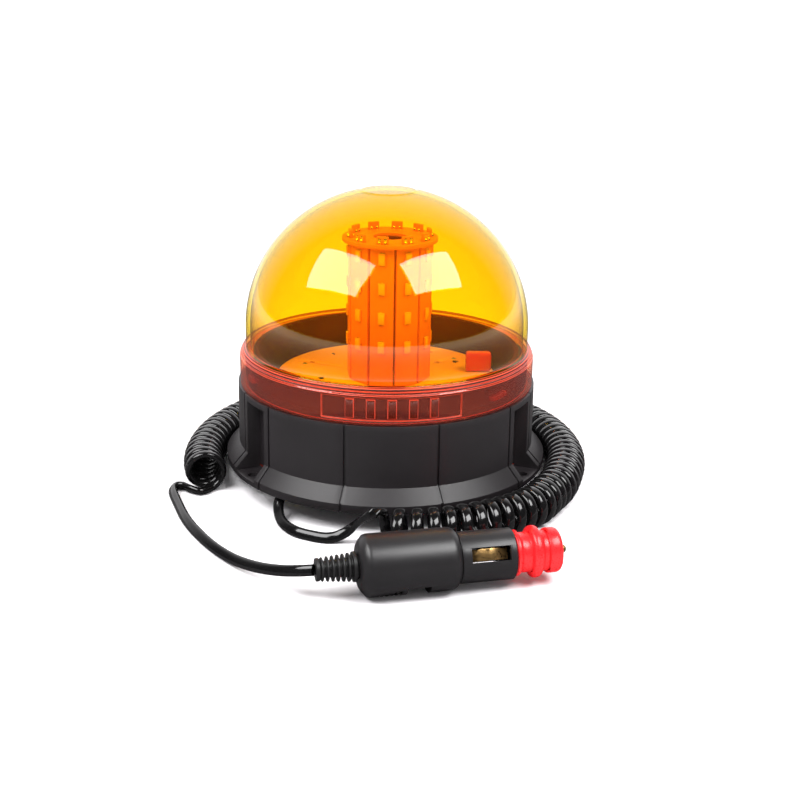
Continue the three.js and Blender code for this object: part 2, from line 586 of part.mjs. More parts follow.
// A bowed leaf that stands a little proud of the barrel's window; it looks along +Z before turning.
function sideContact() {
  const bow = new THREE.Shape();
  const rise = (x) => 6.9 + 3.6 * Math.sin((Math.PI * Math.max(0, x - LEAF_FROM)) / 15.6) ** 1.5;
  const stops = [56.8, ...Array.from({ length: 11 }, (_, i) => LEAF_FROM + (LEAF_TO - LEAF_FROM) * (i / 10))];
  bow.moveTo(stops[0], rise(stops[0]) - 0.45);
  for (const x of stops.slice(1)) bow.lineTo(x, rise(x) - 0.45);
  for (const x of stops.slice().reverse()) bow.lineTo(x, rise(x));
  const wide = 4.6;
  return new THREE.ExtrudeGeometry(bow, { depth: wide, bevelEnabled: false })
    .translate(0, 0, -wide / 2).rotateX(Math.PI / 2);
}
add("side_contact_front", sideContact(), brass, plug).rotation.x = rad(90 - CONTACT_TILT);
add("side_contact_back", sideContact(), brass, plug).rotation.x = rad(-90 - CONTACT_TILT);

function noseAdapter() {
  const shell = lyingTurned([
    [BARREL_TO + GAP, NOSE_R + 0.5], [BARREL_TO + GAP, 8.6], [78.9, 9.1], [79.8, 9], [80.6, 7.9],
    [84.2, 7.9], [85, 9.8], [85.8, 10.2], [87.6, 10.2], [88.4, 9.8], [89.2, 8.1], [91.2, 8],
    [91.8, 8.8], [95.4, 8.8], [96.6, 8.1], [ADAPTER_TO, 6.6], [ADAPTER_TO, 2.2], [95, 2.2],
    [95, NOSE_R + 0.5],
  ], 20);
  const slots = [125, 245, 5].map((turn) => block(3.2, 1, 1.2, [85.4, 0, 9.8]).rotate([turn, 0, 0]));
  return cut(shell, ...slots);
}
add("nose_adapter", noseAdapter(), redPlastic, plug);

export default beacon;
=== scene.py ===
"""Looks of the amber LED warning beacon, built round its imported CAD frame.

Shapes are in millimetres in the CAD's own frame: +Z up and the front towards -Y. An azimuth is in
degrees from the front, positive towards +X. Shape.piece() turns millimetres into metres.
"""

import math

import bmesh
import bpy
from mathutils import Matrix, Vector


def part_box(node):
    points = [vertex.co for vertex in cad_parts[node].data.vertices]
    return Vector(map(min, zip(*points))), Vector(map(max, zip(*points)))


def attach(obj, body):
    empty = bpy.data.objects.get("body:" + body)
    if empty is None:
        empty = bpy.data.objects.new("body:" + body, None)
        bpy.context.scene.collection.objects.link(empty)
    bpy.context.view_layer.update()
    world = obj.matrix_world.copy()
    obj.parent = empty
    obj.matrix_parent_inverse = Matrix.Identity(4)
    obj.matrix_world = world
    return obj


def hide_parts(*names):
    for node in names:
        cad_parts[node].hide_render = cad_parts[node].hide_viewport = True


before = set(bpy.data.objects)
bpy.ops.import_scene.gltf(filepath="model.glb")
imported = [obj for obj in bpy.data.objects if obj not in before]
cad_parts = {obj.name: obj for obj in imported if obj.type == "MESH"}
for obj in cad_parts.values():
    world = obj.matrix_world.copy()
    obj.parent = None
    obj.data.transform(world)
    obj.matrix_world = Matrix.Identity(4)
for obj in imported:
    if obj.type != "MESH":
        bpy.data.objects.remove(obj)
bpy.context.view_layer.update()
SCENE = bpy.context.scene
MM = 0.001


def corners(node):
    """Lowest and highest corner of a CAD node, in millimetres."""
    low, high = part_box(node)
    return low / MM, high / MM


# ---------------------------------------------------------------- sizes read from the frame
BASE_LOW, BASE_HIGH = corners("base_housing")
LENS_LOW, LENS_HIGH = corners("dome_lens")
BOARD_LOW, BOARD_HIGH = corners("main_board")
TOP_LOW, TOP_HIGH = corners("tower_top_board")
STRIP_LOW, STRIP_HIGH = corners("led_board_01")
BOOT_LOW, BOOT_HIGH = corners("magnet_boot")
CAP_LOW, CAP_HIGH = corners("film_capacitor")

RIM_Z = BASE_LOW.z
FLARE_R = (BASE_HIGH.x - BASE_LOW.x) / 2
SPIGOT_TOP = BASE_HIGH.z
SKIRT_R = (LENS_HIGH.x - LENS_LOW.x) / 2
LENS_FOOT = LENS_LOW.z
DISC_TOP = LENS_HIGH.z
BOARD_R = (BOARD_HIGH.x - BOARD_LOW.x) / 2
TOWER_X = (TOP_LOW.x + TOP_HIGH.x) / 2
TOP_BOARD_R = (TOP_HIGH.x - TOP_LOW.x) / 2

# ---------------------------------------------------------------- sizes shared with the CAD source
TURN = 2.2  # how far the base is turned from the front
THIRDS = (0, 120, 240)
FOOT_AT = 60  # from each third to the recess and foot after it
FLARE_LOW_Z = 13.3
FLARE_TOP_Z = 19.3
WALL_R = 68.6
SHOULDER_Z = 46.7
SPIGOT_R = 61.2
SPIGOT_BORE = 58.6
NOTCH_HALF = 6.7
NOTCH_R = 62.6
FOOT_HALF = 10.5  # the solid foot under each recess
EAR_Z = 12.1
EAR_HOLE_R = 2.3
EAR_INSET = 4.6  # from the flare's rim to the middle of an ear's hole
RECESS_TOP = 44.1
GROOVES = (-16.9, 16.9, 50.3, 69.7)
GROOVE_DEEP = 0.9
GROOVE_WIDE = 1.1
PLATE_R = 62.9
PLATE_LOW = 9.9
PLATE_TOP = 12.9
BOSS_R = 57.4
CORD_AZIMUTH = -40.3

SKIRT_BORE = 64.9
DOME_R = 64.6
DOME_MID_Z = 72
DOME_RISE = 63
LENS_WALL = 2.1
DISC_R = 12.3
RIB_PITCH = 7.7
RIB_WIDE = 3.1
ZONE_HALF = 26
RIB_DEEP = 0.7
THREAD_LEAD = 24
LUG_AT = (50, 170, 290)

TOWER_SIDES = 10
TOWER_TURN = -10.5
FACE_R = 18.6
STRIP_WIDE = 10.6
STRIP_TOP = 111.3
BOARD_THICK = 1.6
TAB_WIDE = 5
TOP_HOLE_R = 7.5
TOP_BOARD_TOP = TOP_LOW.z + BOARD_THICK
LED_ROWS = (66.4, 79.8, 93.2, 106.6)
PILLAR_R = 41.6
PILLAR_AT = (-111.3, 8.7, 128.7)

COIL_Z = 9.25
COIL_PATH = ((-1.3, 89.2), (20, 89.6), (43, 89.4), (58, 86.6), (75, 84.9), (100, 84.7),
             (180, 84.8), (262, 84.8), (289, 85.8))  # azimuth, radius

PLUG_AT = (-26.5, -132, 12.4)
PLUG_TURN = 12.3
BODY_R = 12.25
BODY_ROLL = -19  # the plug lies rolled towards the front
BODY_FROM = 16.8
BODY_TO = 55.6
BARREL_R = 10.1
BARREL_TO = 77.9
NOSE_R = 6
NOSE_TO = 94.6
ADAPTER_TO = 97
CONTACT_TILT = 28
WINDOW_FROM = 59.6
WINDOW_TO = 75.1
WINDOW_WIDE = 5.6
LEAF_START = 56.8
LEAF_FROM = 59  # where a leaf's bow begins
LEAF_BOW = 15.6
LEAF_LOW = 6.9
LEAF_RISE = 3.6
LEAF_TO = 74.4
LEAF_WIDE = 4.6
LEAF_THICK = 0.45
GRIP_TEETH = 5
GRIP_FROM = 24.2
GRIP_PITCH = 1.9
PLUG_SCREW_X = 35

# ---------------------------------------------------------------- this script's own details and meshes
CORD_WIDE = 4.6  # the flat cord, where the CAD has round tubes
CORD_THICK = 2.9
HELIX_R = 7.75  # to the cord's middle
BOARD_HOLES = (  # x, y, radius; the CAD's two wire holes, then two of this script's own
    (-35.2, 17.6, 1.3), (24, 20, 1.6), (21.8, 36.5, 1.1), (-20, -40, 1.3))
BOARD_CHIPS = (  # x, y, length, width, turn
    (-30, -8, 3.2, 1.6, 20), (-26, 30, 2, 1.25, 70), (33, 20, 3.2, 1.6, -30),
    (4, 41, 3.2, 1.6, 5), (-43, -4, 2, 1.25, 80), (30, -24, 2, 1.25, 40))
LEAF_STEPS = 44
COLUMN_STEP = 2.25  # degrees between the columns of the base and the lens
COLUMN_CLEAR = 0.9  # degrees that an even column keeps from an edge
BORE_ROWS = (10, 11, 12, 13)  # of housing_profile, inside the spigot
SKIRT_ROWS = 12  # of lens_profile, below the collar
COLLAR_ROWS = 17  # and below the dome


# ---------------------------------------------------------------- shapes
def polar(r, azimuth, z=0.0):
    a = math.radians(azimuth)
    return Vector((r * math.sin(a), -r * math.cos(a), z))


def turn_z(degrees):
    return Matrix.Rotation(math.radians(degrees), 4, "Z")


def turn_x(degrees):
    return Matrix.Rotation(math.radians(degrees), 4, "X")


def grid(rows, wrap_rows=False, wrap_columns=False, caps=False):
    """Points and quads of a grid. With caps, its first and last rows are closed by one face each."""
    count, width = len(rows), len(rows[0])
    faces = []
    for i in range(count if wrap_rows else count - 1):
        for j in range(width if wrap_columns else width - 1):
            k, m = (i + 1) % count, (j + 1) % width
            faces.append((i * width + j, i * width + m, k * width + m, k * width + j))
    if caps:
        faces.append(tuple(range(width)))
        faces.append(tuple((count - 1) * width + j for j in range(width)))
    return [p for row in rows for p in row], faces


def turned(profile, segments=96, start=0.0, span=360.0):
    """Turned about +Z from (radius, z) corners. A part turn is closed by a face at each end."""
    whole = span == 360.0
    steps = segments if whole else segments + 1
    rows = [[polar(r, start + span * i / segments, z) for r, z in profile] for i in range(steps)]
    on_axis = profile[0][0] == 0 and profile[-1][0] == 0
    return grid(rows, wrap_rows=whole, wrap_columns=not (whole and on_axis), caps=not whole)


def rod(r, low, high, segments):
    """An upright cylinder."""
    return turned([(0, low), (r, low), (r, high), (0, high)], segments)


def lying(profile, segments=64, start=0.0, span=360.0):
    """Turned about +X from (x, radius) corners."""
    points, faces = turned([(r, x) for x, r in profile], segments, start, span)
    return [Vector((p.z, p.x, p.y)) for p in points], faces


def block(x, y, z, at=(0, 0, 0)):
    signs = [(i, j, k) for i in (-1, 1) for j in (-1, 1) for k in (-1, 1)]
    points = [Vector((at[0] + i * x / 2, at[1] + j * y / 2, at[2] + k * z / 2)) for i, j, k in signs]
    return points, [(0, 1, 3, 2), (4, 6, 7, 5), (0, 4, 5, 1), (2, 3, 7, 6), (0, 2, 6, 4), (1, 5, 7, 3)]


def band(inner, outer, low, high, start, span, lead=0.0, steps=24):
    """A piece of a ring that climbs by lead in a turn."""
    rows = []
    for i in range(steps + 1):
        azimuth = start + span * i / steps
        climb = lead * span * i / steps / 360
        rows.append([polar(inner, azimuth, low + climb), polar(outer, azimuth, low + climb),
                     polar(outer, azimuth, high + climb), polar(inner, azimuth, high + climb)])
    return grid(rows, wrap_columns=True, caps=True)


def blob(r, rise, at=(0, 0, 0), segments=16):
    """A low round bead on z = 0."""
    arc = [(r * math.cos(a), rise * math.sin(a)) for a in (math.radians(15 * i) for i in range(7))]
    points, faces = turned([(0, 0), *arc[:-1], (0, rise)], segments)
    return [p + Vector(at) for p in points], faces


def even_azimuths(columns, start):
    """Azimuths at an even step all the way round, apart from those next to a column that is there."""
    marks = [column[0] for column in columns]
    evenly = [start + COLUMN_STEP * i for i in range(round(360 / COLUMN_STEP))]
    return [azimuth for azimuth in evenly
            if min(abs((azimuth - mark + 180) % 360 - 180) for mark in marks) > COLUMN_CLEAR]


def sweep(path, across, section):
    """A section of (across, out) points carried along a path; across[i] is its wide direction."""
    rows = []
    for i, point in enumerate(path):
        along = (path[min(i + 1, len(path) - 1)] - path[max(i - 1, 0)]).normalized()
        wide = (across[i] - along * across[i].dot(along)).normalized()
        out = along.cross(wide)
        rows.append([point + wide * a + out * o for a, o in section])
    return grid(rows, wrap_columns=True, caps=True)


class Shape:
    """Points in millimetres, faces, and each face's material, gathered before they become a piece."""

    def __init__(self):
        self.points = []
        self.faces = []
        self.kinds = []

    def add(self, part, kind=0, place=None):
        points, faces = part
        first = len(self.points)
        self.points += [place @ p for p in points] if place else list(points)
        self.faces += [tuple(first + i for i in face) for face in faces]
        self.kinds += [kind] * len(faces)
        return self

    def mesh(self, name, place=None):
        mesh = bpy.data.meshes.new(name)
        move = Matrix.Scale(MM, 4) @ (place or Matrix.Identity(4))
        mesh.from_pydata([move @ p for p in self.points], [], self.faces)
        mesh.polygons.foreach_set("material_index", self.kinds)
        work = bmesh.new()
        work.from_mesh(mesh)
        bmesh.ops.remove_doubles(work, verts=work.verts, dist=0.004 * MM)
        bmesh.ops.dissolve_degenerate(work, edges=work.edges, dist=0.002 * MM)
        bmesh.ops.recalc_face_normals(work, faces=work.faces)
        work.to_mesh(mesh)
        work.free()
        return mesh

    def piece(self, name, body, materials, slot, nodes=(), place=None, edge=0.0, edge_material=-1,
              holes=None, sharp=35):
        """The finished piece: holes cut, edges rounded by edge millimetres, riding on its body."""
        mesh = self.mesh(name, place)
        piece = bpy.data.objects.new(name, mesh)
        SCENE.collection.objects.link(piece)
        for material in materials:
            mesh.materials.append(material)
        if holes:
            carve(piece, holes, place)
        if edge:
            round_edges(piece, edge, edge_material)
        piece.data.shade_smooth()
        piece.data.set_sharp_from_angle(angle=math.radians(sharp))
        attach(piece, body)
        if nodes:
            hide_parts(*nodes)
        return piece


def apply_modifiers(piece):
    depsgraph = bpy.context.evaluated_depsgraph_get()
    mesh = bpy.data.meshes.new_from_object(piece.evaluated_get(depsgraph))
    piece.modifiers.clear()
    piece.data = mesh


def carve(piece, holes, place):
    """Cuts the shape holes out of a piece."""
    cutter = bpy.data.objects.new("cutter", holes.mesh("cutter", place))
    SCENE.collection.objects.link(cutter)
    modifier = piece.modifiers.new("holes", "BOOLEAN")
    modifier.operation = "DIFFERENCE"
    modifier.solver = "EXACT"
    modifier.object = cutter
    apply_modifiers(piece)
    bpy.data.objects.remove(cutter)


def round_edges(piece, width, material):
    modifier = piece.modifiers.new("edges", "BEVEL")
    modifier.width = width * MM
    modifier.segments = 2
    modifier.limit_method = "ANGLE"
    modifier.angle_limit = math.radians(38)
    modifier.material = material
    apply_modifiers(piece)


# ---------------------------------------------------------------- materials
CLEAR_IOR = 1.5


def mix_shaders(tree, factor, first, second):
    """The first shader where factor is 0 and the second where it is 1."""
    mix = tree.nodes.new("ShaderNodeMixShader")
    tree.links.new(factor, mix.inputs["Fac"])
    tree.links.new(first, mix.inputs[1])
    tree.links.new(second, mix.inputs[2])
    return mix.outputs[0]


class Nodes:
    """A material's node tree, with short calls for what the finishes below share."""

    def __init__(self, name):
        self.material = bpy.data.materials.new(name)
        self.material.use_nodes = True
        self.tree = self.material.node_tree
        self.tree.nodes.clear()
        self.output = self.new("ShaderNodeOutputMaterial")
        self.place = self.new("ShaderNodeTexCoord").outputs["Object"]

    def new(self, kind, **values):
        node = self.tree.nodes.new(kind)
        for name, value in values.items():
            setattr(node, name, value)
        return node

    def link(self, source, target):
        self.tree.links.new(source, target)

    def noise(self, scale, detail=3.0, stretch=None):
        """Noise with cells of about 1/scale metres, drawn out where stretch says so."""
        source = self.place
        if stretch:
            mapping = self.new("ShaderNodeMapping")
            mapping.inputs["Scale"].default_value = stretch
            self.link(source, mapping.inputs["Vector"])
            source = mapping.outputs["Vector"]
        noise = self.new("ShaderNodeTexNoise")
        noise.inputs["Scale"].default_value = scale
        noise.inputs["Detail"].default_value = detail
        self.link(source, noise.inputs["Vector"])
        return noise.outputs["Fac"]

    def between(self, factor, low, high, start=0.3, end=0.7):
        """A value that goes from low to high as factor goes from start to end."""
        ramp = self.new("ShaderNodeMapRange")
        for name, value in (("From Min", start), ("From Max", end), ("To Min", low), ("To Max", high)):
            ramp.inputs[name].default_value = value
        self.link(factor, ramp.inputs["Value"])
        return ramp.outputs["Result"]

    def blend(self, factor, low, high):
        mix = self.new("ShaderNodeMix", data_type="RGBA")
        mix.inputs["A"].default_value = (*low, 1)
        mix.inputs["B"].default_value = (*high, 1)
        self.link(factor, mix.inputs["Factor"])
        return mix.outputs["Result"]

    def bump(self, height, strength, distance):
        bump = self.new("ShaderNodeBump")
        bump.inputs["Strength"].default_value = strength
        bump.inputs["Distance"].default_value = distance * MM
        self.link(height, bump.inputs["Height"])
        return bump.outputs["Normal"]

    def principled(self, colour, **values):
        shader = self.new("ShaderNodeBsdfPrincipled")
        shader.inputs["Base Color"].default_value = (*colour, 1)
        for name, value in values.items():
            shader.inputs[name.replace("_", " ")].default_value = value
        return shader

    def finish(self, surface):
        """The material, showing this shader socket."""
        self.link(surface, self.output.inputs["Surface"])
        return self.material


def moulded(name, colour, paler, roughness, spread=0.06, grain=2200, depth=0.02, strength=0.25,
            ior=1.5):
    """Moulded plastic or rubber: a fine grain, and colour and gloss that drift a little."""
    nodes = Nodes(name)
    shader = nodes.principled(colour, IOR=ior)
    cloud = nodes.noise(45, 2)
    fine = nodes.noise(grain, 3)
    nodes.link(nodes.blend(nodes.between(cloud, 0, 1), colour, paler), shader.inputs["Base Color"])
    nodes.link(nodes.between(fine, roughness - spread, roughness + spread), shader.inputs["Roughness"])
    nodes.link(nodes.bump(fine, strength, depth), shader.inputs["Normal"])
    return nodes.finish(shader.outputs[0])


def metal(name, colour, darker, roughness, stretch=(1, 1, 1)):
    """Plated or rolled metal: fine lines one way, and a faint stain."""
    nodes = Nodes(name)
    shader = nodes.principled(colour, Metallic=1.0)
    lines = nodes.noise(1400, 2, stretch)
    stain = nodes.noise(160, 4)
    nodes.link(nodes.blend(nodes.between(stain, 0, 1, 0.35, 0.75), colour, darker),
               shader.inputs["Base Color"])
    nodes.link(nodes.between(lines, roughness - 0.07, roughness + 0.1), shader.inputs["Roughness"])
    nodes.link(nodes.bump(lines, 0.06, 0.004), shader.inputs["Normal"])
    return nodes.finish(shader.outputs[0])


def clear_amber(name, tint, body, share, roughness=0.02, glow=0.0):
    """Coloured clear plastic: each face tints what is behind it, and share of it shows its own body. Glow
    makes that body shine by itself: painted light.
    """
    nodes = Nodes(name)
    through = nodes.new("ShaderNodeBsdfTransparent")
    through.inputs["Color"].default_value = (*tint, 1)
    inner = nodes.principled(body, Roughness=0.5, Specular_IOR_Level=0.0)
    inner.inputs["Emission Color"].default_value = (*body, 1)
    inner.inputs["Emission Strength"].default_value = glow
    mixed = nodes.new("ShaderNodeMixShader")
    mixed.inputs["Fac"].default_value = share
    nodes.link(through.outputs[0], mixed.inputs[1])
    nodes.link(inner.outputs[0], mixed.inputs[2])
    gloss = nodes.new("ShaderNodeBsdfGlossy")
    gloss.inputs["Roughness"].default_value = roughness
    fresnel = nodes.new("ShaderNodeFresnel")
    side = nodes.new("ShaderNodeNewGeometry").outputs["Backfacing"]
    nodes.link(nodes.between(side, CLEAR_IOR, 1 / CLEAR_IOR, 0, 1), fresnel.inputs["IOR"])
    surface = mix_shaders(nodes.tree, fresnel.outputs[0], mixed.outputs[0], gloss.outputs[0])
    return nodes.finish(surface)


def make_materials():
    """All the finishes. The boards, the LED packages, the solder and the spigot's bore are warmer than the
    real white, silver and black ones:
    painted amber light, so that through this lens they look as the real ones do through theirs."""
    return {
        "amber": clear_amber("amber_clear", (1.0, 0.85, 0.1), (0.9, 0.45, 0.02), 0.015),
        "skirt": clear_amber("amber_skirt", (0.97, 0.52, 0.36), (0.34, 0.058, 0.035), 0.13),
        "lug": clear_amber("amber_lug", (0.97, 0.4, 0.2), (0.5, 0.08, 0.04), 0.3),
        # painted shade: the collar is darker, standing in for the black spigot seen through it
        "collar": clear_amber("amber_collar_painted_shade", (0.6, 0.2, 0.06), (0.1, 0.018, 0.01), 0.2),
        # painted light: the rounded edges of the lens glow bright red as if light ran through them
        "edge": clear_amber("amber_edge_painted_glow", (0.95, 0.25, 0.12), (1.0, 0.10, 0.045), 0.6, 0.15, 0.16),
        "case": moulded("black_case", (0.0105, 0.0082, 0.0095), (0.013, 0.0105, 0.012), 0.44),
        # painted amber light: the bore is dark red where the real one is black
        "bore": moulded("black_bore", (0.06, 0.0045, 0.0015), (0.09, 0.007, 0.002), 0.6, ior=1.15),
        "inside": moulded("black_inside", (0.012, 0.011, 0.012), (0.018, 0.016, 0.018), 0.5),
        "rubber": moulded("magnet_rubber", (0.013, 0.013, 0.014), (0.02, 0.02, 0.02), 0.7, 0.1, 900, 0.05),
        "cord": moulded("cord_pvc", (0.003, 0.0028, 0.003), (0.005, 0.0048, 0.005), 0.13, 0.04, 700,
                        0.01, 0.08),
        "plug": moulded("plug_plastic", (0.009, 0.0078, 0.009), (0.012, 0.011, 0.012), 0.38, 0.06, 3000,
                        0.012),
        "relief": moulded("relief_rubber", (0.007, 0.0065, 0.007), (0.011, 0.0105, 0.011), 0.45),
        "red": moulded("adapter_red", (0.72, 0.008, 0.011), (0.76, 0.013, 0.017), 0.3, 0.05, 1500,
                       0.01, 0.12),
        "brass": metal("contact_brass", (0.5, 0.31, 0.12), (0.36, 0.21, 0.08), 0.33, (0.1, 1, 1)),
        "zinc": metal("zinc_steel", (0.6, 0.61, 0.62), (0.45, 0.46, 0.47), 0.3),
        # painted amber light: solder, boards and LED packages are warmer than their real silver and white
        "solder": metal("solder", (0.95, 0.8, 0.4), (0.8, 0.6, 0.25), 0.22),
        "board": moulded("strip_board", (0.84, 0.19, 0.06), (0.9, 0.23, 0.08), 0.42, 0.05, 900, 0.004),
        "round": moulded("round_board", (0.9, 0.4, 0.15), (0.94, 0.46, 0.18), 0.42, 0.05, 900, 0.004),
        "led": moulded("led_body", (0.92, 0.36, 0.14), (0.94, 0.4, 0.17), 0.3, 0.05, 1200, 0.004),
        "phosphor": moulded("led_window", (0.94, 0.46, 0.1), (0.96, 0.5, 0.13), 0.22, 0.04, 1200, 0.004),
        "dipped": moulded("dipped_red", (0.55, 0.02, 0.012), (0.62, 0.03, 0.018), 0.2, 0.05, 500, 0.03),
    }


# ---------------------------------------------------------------- camera
CAMERA_AT = (0.0, -576.2, 233.8)
LENS_MM = 58.5
SENSOR_MM = 36.0
PITCH = 19.0
YAW = 0.647
ROLL = 0.9


def make_camera():
    data = bpy.data.cameras.new("camera")
    data.lens = LENS_MM
    data.sensor_width = SENSOR_MM
    data.clip_start = 0.01
    camera = bpy.data.objects.new("camera", data)
    SCENE.collection.objects.link(camera)
    pitch, yaw, roll = (math.radians(a) for a in (PITCH, YAW, ROLL))
    forward = Vector((math.sin(yaw) * math.cos(pitch), math.cos(yaw) * math.cos(pitch), -math.sin(pitch)))
    level = Vector((math.cos(yaw), -math.sin(yaw), 0))
    right = level * math.cos(roll) + level.cross(forward) * math.sin(roll)
    axes = Matrix((right, right.cross(forward), -forward)).transposed()
    camera.matrix_world = Matrix.Translation(Vector(CAMERA_AT) * MM) @ axes.to_4x4()
    SCENE.camera = camera


# ---------------------------------------------------------------- cord
# The CAD source's routes in metres: from the grommet towards the coil, and from the coil to the plug.
# They lack its lead's last two points and its tail's first one, because here the cord runs into the helix.
LEAD_POINTS = (
    (-0.0438, -0.0516, 0.0103), (-0.0454, -0.0536, 0.0086), (-0.0462, -0.0562, 0.0066),
    (-0.0459, -0.0600, 0.0044), (-0.0446, -0.0646, 0.0028), (-0.0422, -0.0694, 0.0022),
    (-0.0374, -0.0754, 0.0022), (-0.0306, -0.0794, 0.0022), (-0.0240, -0.0816, 0.0023),
    (-0.0194, -0.0816, 0.0032), (-0.0152, -0.0816, 0.0056), (-0.0112, -0.0830, 0.0100))
TAIL_POINTS = (
    (-0.0836, -0.0326, 0.0019), (-0.0882, -0.0308, 0.0022),
    (-0.0920, -0.0276, 0.0023), (-0.0950, -0.0276, 0.0023), (-0.0962, -0.0306, 0.0023),
    (-0.0952, -0.0362, 0.0023), (-0.0918, -0.0464, 0.0022), (-0.0854, -0.0640, 0.0022),
    (-0.0782, -0.0784, 0.0022), (-0.0696, -0.0920, 0.0022), (-0.0606, -0.1036, 0.0028),
    (-0.0508, -0.1146, 0.0050), (-0.0404, -0.1246, 0.0084), (-0.0330, -0.1296, 0.0108),
    (-0.0268, -0.1321, 0.0124))
TURN_STEPS = 24  # points in each turn of the curly stretch
WIDE_PITCH = 2.6  # how much further apart the first turns stand
CLOSE_PITCH = 5.6  # where they lie against each other
CLOSES_OVER = 30
OVER_THE_TOP = (Vector((-7.4, -87.4, 14.6)), Vector((-4.2, -89.6, 17.6)))  # into the first turn
LEAD_TILT = 52  # how steeply the flat cord stands on its edge
TAIL_TILT = 54
LEAD_TWIST = 12  # route points over which it takes that tilt
INTO_COIL = 20  # and turns into the coil's own, up to the last two points
OUT_OF_COIL = 9


def smooth_route(points, step=1.4):
    """Points about step millimetres apart on a centripetal Catmull-Rom curve."""
    route = []
    ends = [points[0] * 2 - points[1], *points, points[-1] * 2 - points[-2]]
    for a, b, c, d in zip(ends, ends[1:], ends[2:], ends[3:]):
        ta = math.sqrt((b - a).length)
        tb = ta + math.sqrt((c - b).length)
        tc = tb + math.sqrt((d - c).length)
        count = max(1, round((c - b).length / step))
        for i in range(count):
            t = ta + (tb - ta) * i / count
            ab = a.lerp(b, t / ta)
            bc = b.lerp(c, (t - ta) / (tb - ta))
            cd = c.lerp(d, (t - tb) / (tc - tb))
            route.append(ab.lerp(bc, t / tb).lerp(bc.lerp(cd, (t - ta) / (tc - ta)), (t - ta) / (tb - ta)))
    return route + [points[-1]]


def coil_radius(azimuth):
    for (a0, r0), (a1, r1) in zip(COIL_PATH, COIL_PATH[1:]):
        if azimuth <= a1:
            t = (azimuth - a0) / (a1 - a0)
            return r0 + (r1 - r0) * t * t * (3 - 2 * t)
    return COIL_PATH[-1][1]


def curly_route():
    """The helix round the coil's middle line: its points, and the way that line runs at each."""
    start, end = COIL_PATH[0][0], COIL_PATH[-1][0]
    fine = 6000  # steps along the middle line
    azimuths = [start + (end - start) * i / fine for i in range(fine + 1)]
    middle = [polar(coil_radius(azimuth), azimuth, COIL_Z) for azimuth in azimuths]
    turns = [0.0]
    length = 0.0
    for a, b in zip(middle, middle[1:]):
        length += (b - a).length
        pitch = CLOSE_PITCH + WIDE_PITCH * math.exp(-length / CLOSES_OVER)
        turns.append(turns[-1] + (b - a).length / pitch)
    whole = math.floor(turns[-1]) + 0.5  # the last turn ends at the foot of the coil
    points, ways = [], []
    k = 0
    for step in range(int(whole * TURN_STEPS) + 1):
        turn = step / TURN_STEPS * turns[-1] / whole
        while k < fine - 1 and turns[k + 1] < turn:
            k += 1
        way = (middle[k + 1] - middle[k]).normalized()
        at = middle[k].lerp(middle[k + 1], (turn - turns[k]) / (turns[k + 1] - turns[k]))
        inward = Vector((0, 0, 1)).cross(way)
        angle = 2 * math.pi * step / TURN_STEPS
        points.append(at + Vector((0, 0, HELIX_R * math.cos(angle))) + inward * HELIX_R * math.sin(angle))
        ways.append(way)
    return points, ways


def cord_section(steps=20):
    """The flat cord: an oval with full, nearly straight sides."""
    section = []
    for i in range(steps):
        a = 2 * math.pi * i / steps
        x, y = math.cos(a), math.sin(a)
        section.append((CORD_WIDE / 2 * math.copysign(abs(x) ** 0.8, x),
                        CORD_THICK / 2 * math.copysign(abs(y) ** 0.8, y)))
    return section


def tilted(route, i, tilt):
    """The cord's wide direction at point i of a route: tilt degrees up from level."""
    along = (route[min(i + 1, len(route) - 1)] - route[max(i - 1, 0)]).normalized()
    level = along.cross(Vector((0, 0, 1))).normalized()
    return level * math.cos(math.radians(tilt)) + level.cross(along) * math.sin(math.radians(tilt))


def eased(value):
    value = min(1.0, max(0.0, value))
    return value * value * (3 - 2 * value)


def make_cord(materials):
    """One cord all the way. Where it lies on the floor, it stands tilted on its edge."""
    helix, ways = curly_route()
    lead = smooth_route([Vector(p) / MM for p in LEAD_POINTS] + [*OVER_THE_TOP, helix[1]])[:-1]
    tail = smooth_route([helix[-2]] + [Vector(p) / MM for p in TAIL_POINTS])[1:]
    path = lead + helix[1:-1] + tail
    turn_from = len(lead) - 2 - INTO_COIL
    across = [tilted(lead, i, -LEAD_TILT * eased(i / LEAD_TWIST))
              .lerp(-ways[1], eased((i - turn_from) / INTO_COIL)) for i in range(len(lead))]
    across += [-way for way in ways[1:-1]]
    across += [tilted(tail, i, -TAIL_TILT).lerp(-ways[-1], eased(1 - i / OUT_OF_COIL))
               for i in range(len(tail))]
    shape = Shape().add(sweep(path, across, cord_section()))
    cord = shape.piece("power_cord", "beacon", [materials["cord"]], "cord_black",
                       ["cord_lead", "curly_cord", "cord_tail"], sharp=60)


